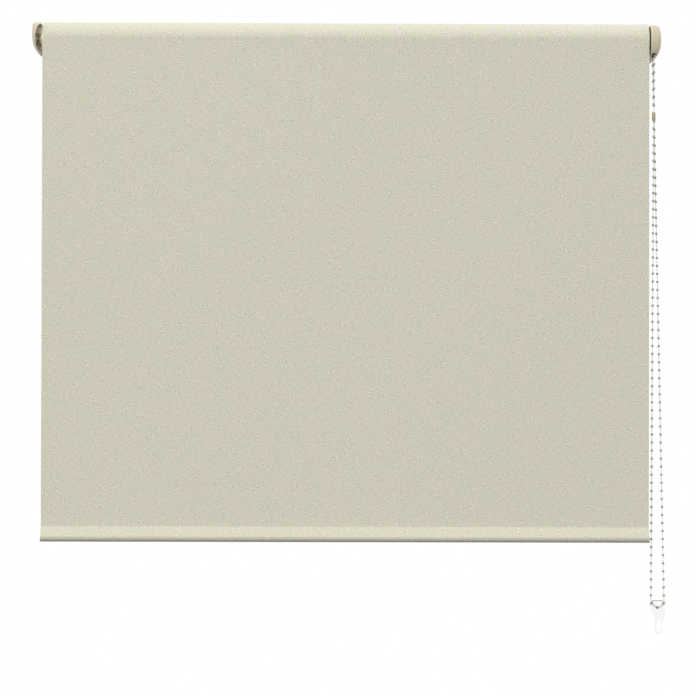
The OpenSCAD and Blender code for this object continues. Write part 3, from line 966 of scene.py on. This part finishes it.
@dataclass
class EndForm:
    """The domed form that both ends of the blind are cut from."""

    side: Side
    crown: float
    top: float
    flat: float
    rise: float
    axis_y: float = AXIS_Y
    radius: float = 37 * MM
    wall: float = 1.6 * MM
    arm: float = 9.5 * MM
    arm_room: float = 0.8 * MM
    post: float = 2.5 * MM
    post_inset: float = 1 * MM
    rounding: float = 0.998
    points: int = 112
    steps: int = 28

    def solid(self, name: str, shrink: float, low: float, high: float | None = None) -> Piece:
        """Builds a slice of the dome as a solid.

        Args:
            name: Name for the solid.
            shrink: How far it lies inside the outer skin.
            low: X of its inner face, as a distance from the middle of the blind.
            high: X of its outer face, or none for the crown.

        Returns:
            The solid.
        """
        sign = self.side.value
        radius = self.radius - shrink
        centre = self.crown - self.radius
        rim = sign * (centre + radius)
        axis = (self.axis_y, self.rise)
        form = disc_along_x(name, self.flat + radius, sign * centre, rim, axis, self.points)
        with editing(form):
            pick_edges(form, lambda end: abs(end.x - rim) < NEAR)
            bpy.ops.mesh.bevel(
                offset=radius * self.rounding,
                segments=self.steps,
                profile=0.5,
                affect="EDGES",
                clamp_overlap=False,
            )
        cut_flat(form, Vector((0, 0, self.top - shrink)), Vector((0, 0, 1)))
        cut_flat(form, Vector((sign * low, 0, 0)), Vector((-sign, 0, 0)))
        if high is not None:
            cut_flat(form, Vector((sign * high, 0, 0)), Vector((sign, 0, 0)))
        merge_skin(form)
        return form

    def shell(self, name: str, low: float, seat: float) -> Piece:
        """Builds a cover, open behind for a bracket arm, with two posts that sit on the arm.

        Args:
            name: Name for the cover.
            low: X of its rim, as a distance from the middle of the blind.
            seat: X of the outside of the arm, as a distance from the middle of the blind.

        Returns:
            The cover.
        """
        sign = self.side.value
        cover = self.solid(name, 0, low)
        carve(cover, self.solid("cover_room", self.wall, low - PAST))
        reach = self.arm + self.arm_room
        start, end = sorted((sign * (low - PAST), sign * seat))
        carve(cover, block("arm_way", (start, self.axis_y, -reach), (end, 0, reach)))
        for height in (1, -1):
            axis = (self.axis_y, height * (self.arm - self.post - self.post_inset))
            ends = (sign * seat, sign * self.crown)
            post = disc_along_x("seat_post", self.post, *ends, axis, 24)
            carve(post, self.solid("post_end", self.wall / 2, low), "INTERSECT")
            carve(cover, post, "UNION")
        return cover


@dataclass
class ControlEnd:
    """The chain guard, the cover outside it and the wheel that the chain turns."""

    shop: Workshop
    axis_y: float = AXIS_Y
    wheel_r: float = 15.28 * MM
    bead_way: float = 3.4 * MM
    groove: float = 2.25 * MM
    slot: float = 6.1 * MM
    slot_top: float = -8 * MM
    slot_round: float = 1.6 * MM
    sleeve_hole: float = 10.16 * MM
    arch_w: float = 5.9 * MM
    arch_z: float = -22.5 * MM
    arch_shift: float = -1.2 * MM
    arch_seam: float = 0.02 * MM
    top: float = 20.8 * MM
    flat: float = 4 * MM
    rise: float = 1.2 * MM
    edge: float = 0.3 * MM

    def form(self) -> EndForm:
        """Returns the dome that the guard and the cover share."""
        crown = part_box("control_cover")[1][0]
        return EndForm(Side.CONTROL, crown, self.top, self.flat, self.rise)

    def guard(self) -> None:
        """Builds the guard with its arched chain slots."""
        low, high = (Vector(corner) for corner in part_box("chain_guard"))
        form = self.form()
        inner = low.x + form.wall
        guard = form.solid("chain_housing", 0, low.x, high.x)
        carve(guard, form.solid("guard_room", form.wall, inner, high.x + form.wall))
        ends = (low.x - PAST, inner + PAST)
        carve(guard, disc_along_x("sleeve_room", self.sleeve_hole, *ends, (self.axis_y, 0)))
        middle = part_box("sprocket")[1][0] - self.bead_way
        for side in (-1, 1):
            y = self.axis_y + side * self.wheel_r
            half = self.slot / 2
            foot = (middle - half, y - half, -2 * form.radius)
            slot = block("slot_room", foot, (middle + half, y + half, self.slot_top))
            with editing(slot):
                pick_edges(slot, lambda end: end.z > self.slot_top - NEAR)
                bpy.ops.mesh.bevel(offset=self.slot_round, segments=4, affect="EDGES")
            carve(guard, slot)
        self.arch(guard, middle + self.arch_shift, form.radius)
        self.shop.fit(ease_edges(guard, self.edge), Body.FRAME, CREAM, "chain_guard")

    def arch(self, guard: Piece, middle: float, reach: float) -> None:
        """Opens an arch in the front of the guard for the chain.

        Args:
            guard: The guard.
            middle: X of the middle of the arch.
            reach: How far the arch is cut forward and down.
        """
        half, front = self.arch_w / 2, self.axis_y - self.wheel_r
        crown = Vector((middle, front, self.arch_z))
        carve(guard, oval_along_y("arch_top", crown, half, half, reach))
        side = half - self.arch_seam
        low = (middle - side, front - reach, self.arch_z - reach)
        carve(guard, block("arch_legs", low, (middle + side, front, self.arch_z)))

    def cover(self) -> None:
        """Builds the cover, open at the back for the bracket arm."""
        rim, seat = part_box("control_cover")[0][0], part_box("control_bracket")[1][0]
        cover = self.form().shell("control_shell", rim, seat)
        # The cover takes the shaded copy of the cream plastic, with painted shade and reflection
        # tint in its colour
        self.shop.fit(ease_edges(cover, self.edge), Body.FRAME, CREAM_SHADED, "control_cover")

    def build(self) -> None:
        """Builds the two shells, the bracket, the hub and the wheel."""
        self.guard()
        self.cover()
        self.shop.plate(Side.CONTROL)
        # The drive plug's near-black colour is partly painted shade for the gap beside the roll
        self.shop.fit_copy("drive_hub", "drive_plug", Body.ROLLER, DARK_HUB_SHADE)
        self.wheel()

    def wheel(self) -> None:
        """Builds the wheel with a groove between its pockets, so that beads pass at every angle."""
        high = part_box("sprocket")[1][0]
        wheel = self.shop.copy_of("sprocket", "chain_wheel", FINE_EDGE)
        start_clean()
        bpy.ops.mesh.primitive_torus_add(
            location=(high - self.bead_way, self.axis_y, 0),
            rotation=(0, math.pi / 2, 0),
            major_segments=128,
            minor_segments=24,
            major_radius=self.wheel_r,
            minor_radius=self.groove,
        )
        carve(wheel, added("bead_groove"))
        self.shop.fit(smooth(wheel), Body.ROLLER, WHITE, "sprocket")


@dataclass
class IdleEnd:
    """The cover at the other end, its bracket, and the plug with its sprung pin."""

    shop: Workshop
    axis_y: float = AXIS_Y
    top: float = 21.8 * MM
    flat: float = 5.5 * MM
    rise: float = 8 * MM
    window_w: float = 8.3 * MM
    window_h: float = 20 * MM
    window_z: float = -0.6 * MM
    window_reach: float = 100 * MM
    pin_stroke: float = 7 * MM
    edge: float = 0.3 * MM

    def cover(self) -> None:
        """Builds the cover with the window in its front."""
        low, high = (Vector(corner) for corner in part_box("idle_cover"))
        form = EndForm(Side.IDLE, -low.x, self.top, self.flat, self.rise)
        cover = form.shell("idle_shell", -high.x, -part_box("idle_bracket")[0][0])
        middle = Vector((high.x, self.axis_y, self.window_z))
        size = (self.window_w, self.window_h, self.window_reach)
        carve(cover, oval_along_y("window_room", middle, *size))
        self.shop.fit(ease_edges(cover, self.edge), Body.FRAME, CREAM, "idle_cover")

    def build(self) -> None:
        """Builds the cover, the bracket, and the plug with its pin, bush and spring."""
        self.cover()
        self.shop.plate(Side.IDLE)
        self.shop.fit_copy("idle_bush", "pin_bush", Body.FRAME, CREAM)
        self.shop.fit_copy("idle_plug", "idle_boss", Body.ROLLER, CREAM)
        self.shop.fit_copy("idle_pin", "idle_axle", Body.PIN, ZINC)
        self.spring()

    def spring(self) -> None:
        """Builds the spring behind the pin."""
        spring = self.shop.fit_copy("pin_spring", "pin_coil", Body.ROLLER, SPRING, 0)
        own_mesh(spring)


@dataclass
class BeadChain:
    """The endless bead chain, its connector and the holder that tensions it."""

    shop: Workshop
    bead_d: float = 4.5 * MM
    cord_d: float = 1.2 * MM
    beads: int = 146
    joined: tuple[int, int] = (13, 14)
    wheel: tuple[float, float, float] = (457.8 * MM, AXIS_Y, 0.0)
    wheel_beads: int = 8
    pitch: float = 12 * MM
    loop_mid: tuple[float, float, float] = (465 * MM, AXIS_Y, -834 * MM)
    loop_w: float = 19.4 * MM
    bead_sides: int = 10
    bead_rings: int = 6
    bead_shown: float = 4.2 * MM
    cord_steps: int = 4
    path_steps: int = 600
    aim: float = 0.5 * MM
    bead_angle: float = 60
    joiner_edge: float = 0.3 * MM
    holder_edge: float = 0.7 * MM
    cord_faces: int = 0

    def __post_init__(self) -> None:
        """Works out the four runs of the loop."""
        self.wheel_r = self.wheel_beads * self.pitch / (2 * math.pi)
        self.loop_r = self.loop_w / 2
        across, side = Vector((0, self.wheel_r, 0)), Vector((self.loop_r, 0, 0))
        self.front = (Vector(self.wheel) - across, Vector(self.loop_mid) - side)
        self.back = (Vector(self.loop_mid) + side, Vector(self.wheel) + across)
        self.runs = (
            math.pi * self.wheel_r,
            (self.front[1] - self.front[0]).length,
            math.pi * self.loop_r,
            (self.back[1] - self.back[0]).length,
        )
        self.length = sum(self.runs)
        self.step = self.length / self.beads

    def at(self, along: float) -> Vector:
        """Finds a point on the chain.

        Args:
            along: Length from the back of the wheel over its top.

        Returns:
            The point on the middle of the cord.
        """
        top, front, turn, back = self.runs
        along %= self.length
        if along < top:
            angle = math.pi * along / top
            arm = Vector((0, math.cos(angle), math.sin(angle)))
            return Vector(self.wheel) + self.wheel_r * arm
        along -= top
        if along < front:
            return self.front[0].lerp(self.front[1], along / front)
        along -= front
        if along < turn:
            angle = math.pi * along / turn
            arm = Vector((math.cos(angle), 0, math.sin(angle)))
            return Vector(self.loop_mid) - self.loop_r * arm
        return self.back[0].lerp(self.back[1], (along - turn) / back)

    def bead(self) -> Piece:
        """Adds one bead at the origin with its poles up and down."""
        start_clean()
        bpy.ops.mesh.primitive_uv_sphere_add(
            segments=self.bead_sides, ring_count=self.bead_rings, radius=self.bead_shown / 2
        )
        return smooth(added("bead"), self.bead_angle)

    def cord(self) -> Piece:
        """Sweeps the cord along the loop as a closed tube and returns it as a mesh."""
        start_clean()
        count = self.beads * self.cord_steps
        route = [self.at(self.length * i / count) for i in range(count)]
        line = bpy.data.curves.new("chain_cord", "CURVE")
        line.dimensions = "3D"
        line.bevel_depth = self.cord_d / 2
        line.bevel_resolution = 1
        spline = line.splines.new("POLY")
        spline.points.add(len(route) - 1)
        for point, place in zip(spline.points, route):
            point.co = (*place, 1.0)
        spline.use_cyclic_u = True
        piece = bpy.data.objects.new("chain_cord", line)
        bpy.context.scene.collection.objects.link(piece)
        take(piece)
        bpy.ops.object.convert(target="MESH")
        return bpy.context.active_object

    def loop(self) -> Piece:
        """Builds the cord with every bead on it but those inside the connector."""
        cord = self.cord()
        self.cord_faces = len(cord.data.polygons)
        first = self.bead()
        copies = []
        for i in range(self.beads):
            if i in self.joined:
                continue
            along = i * self.step
            ahead = self.at(along + self.aim) - self.at(along - self.aim)
            turn = ahead.to_track_quat("Z", "Y").to_matrix().to_4x4()
            copy = first.copy()
            copy.data = first.data.copy()
            bpy.context.scene.collection.objects.link(copy)
            copy.data.transform(Matrix.Translation(self.at(along)) @ turn)
            copies.append(copy)
        bpy.data.objects.remove(first)
        take(cord)
        for copy in copies:
            copy.select_set(True)
        bpy.ops.object.join()
        cord.name = "bead_loop"
        cord.data.name = "bead_loop"
        return smooth(cord, self.bead_angle)

    def build(self) -> None:
        joiner = self.shop.fit_copy(
            "chain_connector", "chain_joiner", Body.FRAME, TAN, self.joiner_edge
        )
        holder = self.shop.fit_copy(
            "chain_holder", "chain_tensioner", Body.FRAME, CLEAR, self.holder_edge
        )
        loop = self.shop.fit(self.loop(), Body.FRAME, BEADS, "bead_chain")
        self.shop.coat_faces(loop, CORD, self.cord_faces)
        start = self.runs[0] / 2
        reach = self.length - self.step / 2
        count = self.path_steps
        path = [self.at(start + reach * i / count) for i in range(count + 1)]


@dataclass
class CarriedNodes:
    """Nodes of the frame that show as they are, or stay hidden inside."""

    shop: Workshop

    def build(self) -> None:
        """Gives each of these nodes its finish."""
        for finish, names in (
            (ALUMINIUM, ("roller_tube", "bottom_bar")),
            (ZINC, ("core_washer", "core_screw")),
            (SPRING, ("brake_springs",)),
            (WHITE, ("clutch_core", "plug_cap")),
            (TAPE, ("fixing_tape",)),
        ):
            for name in names:
                self.shop.coat(self.shop.nodes[name], finish)


@dataclass
class Studio:
    """The camera, the pale floor and the soft light."""

    target: tuple[float, float, float] = (0.0039, -0.05, -0.4589)
    distance: float = 6.0
    yaw: float = -0.6
    pitch: float = 0.8
    roll: float = -0.14
    scale: float = 673.8
    frame: int = 696
    sensor: float = 36.0
    floor_z: float = -1.25
    floor_r: float = 2.6
    floor_lit: Colour = (0.14, 0.14, 0.13, 1.0)
    floor_seen: Colour = (0.86, 0.86, 0.85, 1.0)
    light: Colour = (1.0, 1.0, 1.0, 1.0)
    glow: tuple[float, float] = (0.03, 1.1)
    glow_height: tuple[float, float] = (-0.12, 0.2)
    clear_slope: tuple[float, float] = (0.45, 0.8)
    clear_shade: float = 0.9
    lamp_place: tuple[float, float, float] = (-0.6, -4.5, 1.5)
    lamp_aim: tuple[float, float, float] = (0, 0, -0.4)
    lamp_size: float = 2.4
    lamp_power: float = 88

    def camera(self) -> None:
        """Sets the camera where the picture was taken from."""
        turn = (
            Matrix.Rotation(math.radians(self.yaw), 3, "Z")
            @ Matrix.Rotation(math.radians(self.pitch), 3, "X")
            @ Matrix.Rotation(math.radians(self.roll), 3, "Y")
        )
        place = Vector(self.target) - turn @ Vector((0, self.distance, 0))
        upright = Matrix.Rotation(math.pi / 2, 3, "X")
        lens = bpy.data.cameras.new("camera")
        lens.sensor_width = self.sensor
        lens.lens = self.scale * self.distance * self.sensor / self.frame
        lens.clip_end = 100
        eye = bpy.data.objects.new("camera", lens)
        eye.matrix_world = Matrix.Translation(place) @ (turn @ upright).to_4x4()
        bpy.context.scene.collection.objects.link(eye)
        bpy.context.scene.camera = eye

    def seen(self, board: NodeBoard, clear: Any = 1.0) -> Socket:
        """Adds a level of 1 for rays that look at the background.

        Args:
            board: Nodes of a material or of the world.
            clear: How much of the background shows through clear pieces.

        Returns:
            The socket of that level.
        """
        rays = board.add("LightPath").outputs
        through = board.math("MULTIPLY", rays["Is Transmission Ray"], clear)
        mirrored = board.math("SUBTRACT", rays["Is Glossy Ray"], rays["Is Transmission Ray"])
        direct = board.math("MAXIMUM", rays["Is Camera Ray"], mirrored)
        return board.math("MAXIMUM", direct, through)

    def floor(self) -> None:
        """Lays a round pale floor under the blind, open to a look from below."""
        start_clean()
        bpy.ops.mesh.primitive_circle_add(
            vertices=128, radius=self.floor_r, fill_type="NGON", location=(0, 0, self.floor_z)
        )
        floor = added("studio_floor")
        board = NodeBoard(bpy.data.materials.new("studio_floor"))
        colour = board.blend(self.seen(board), self.floor_lit, self.floor_seen)
        solid = board.math("SUBTRACT", 1.0, board.add("NewGeometry").outputs["Backfacing"])
        floor.data.materials.append(board.dress(base_color=colour, roughness=0.9, alpha=solid))

    def sky(self) -> None:
        """Sets a white background and a soft light that comes from above."""
        world = bpy.data.worlds.new("studio")
        bpy.context.scene.world = world
        board = NodeBoard(world)
        board.tree.nodes.clear()
        place = board.add("TexCoord").outputs["Generated"]
        height = board.add("SeparateXYZ", {0: place}).outputs["Z"]
        level = board.spread(height, *self.glow, *self.glow_height, "SMOOTHSTEP")
        # Rays straight through clear walls have an odd depth, those turned back inside an even one
        rays = board.add("LightPath").outputs
        straight = board.math("MODULO", rays["Ray Depth"], 2.0)
        flat = board.spread(board.math("ABSOLUTE", height), 1.0, 0.0, *self.clear_slope)
        clear = board.math("MULTIPLY", flat, straight)
        shade = board.math("MULTIPLY", rays["Is Transmission Ray"], self.clear_shade)
        strength = board.math("MULTIPLY", level, board.math("SUBTRACT", 1.0, shade))
        soft = board.add("Background", {"Color": self.light, "Strength": strength})
        white = board.add("Background", {"Color": self.light})
        seen = self.seen(board, clear)
        mix = board.add("MixShader", {0: seen, 1: soft.outputs[0], 2: white.outputs[0]})
        board.add("OutputWorld", {0: mix.outputs[0]})

    def softbox(self) -> None:
        """Hangs a square soft lamp in front."""
        light = bpy.data.lights.new("front_softbox", "AREA")
        light.size = self.lamp_size
        light.energy = self.lamp_power
        lamp = bpy.data.objects.new("front_softbox", light)
        lamp.location = self.lamp_place
        aim = Vector(self.lamp_aim) - Vector(self.lamp_place)
        lamp.rotation_euler = aim.to_track_quat("-Z", "Y").to_euler()
        bpy.context.scene.collection.objects.link(lamp)

    def build(self) -> None:
        """Sets up the whole studio."""
        bpy.context.scene.view_settings.view_transform = "Standard"
        self.camera()
        self.floor()
        self.sky()
        self.softbox()


def main() -> None:
    """Builds the blind over its frame, piece by piece."""
    logging.basicConfig(level=logging.INFO, format="%(message)s", stream=sys.stdout)
    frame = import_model()
    shop = Workshop(frame["nodes"])
    Studio().build()
    BeadChain(shop).build()
    FabricShade(shop).build()
    BottomBar(shop).build()
    ControlEnd(shop).build()
    IdleEnd(shop).build()
    CarriedNodes(shop).build()
    start_clean()


if __name__ == "__main__":
    main()
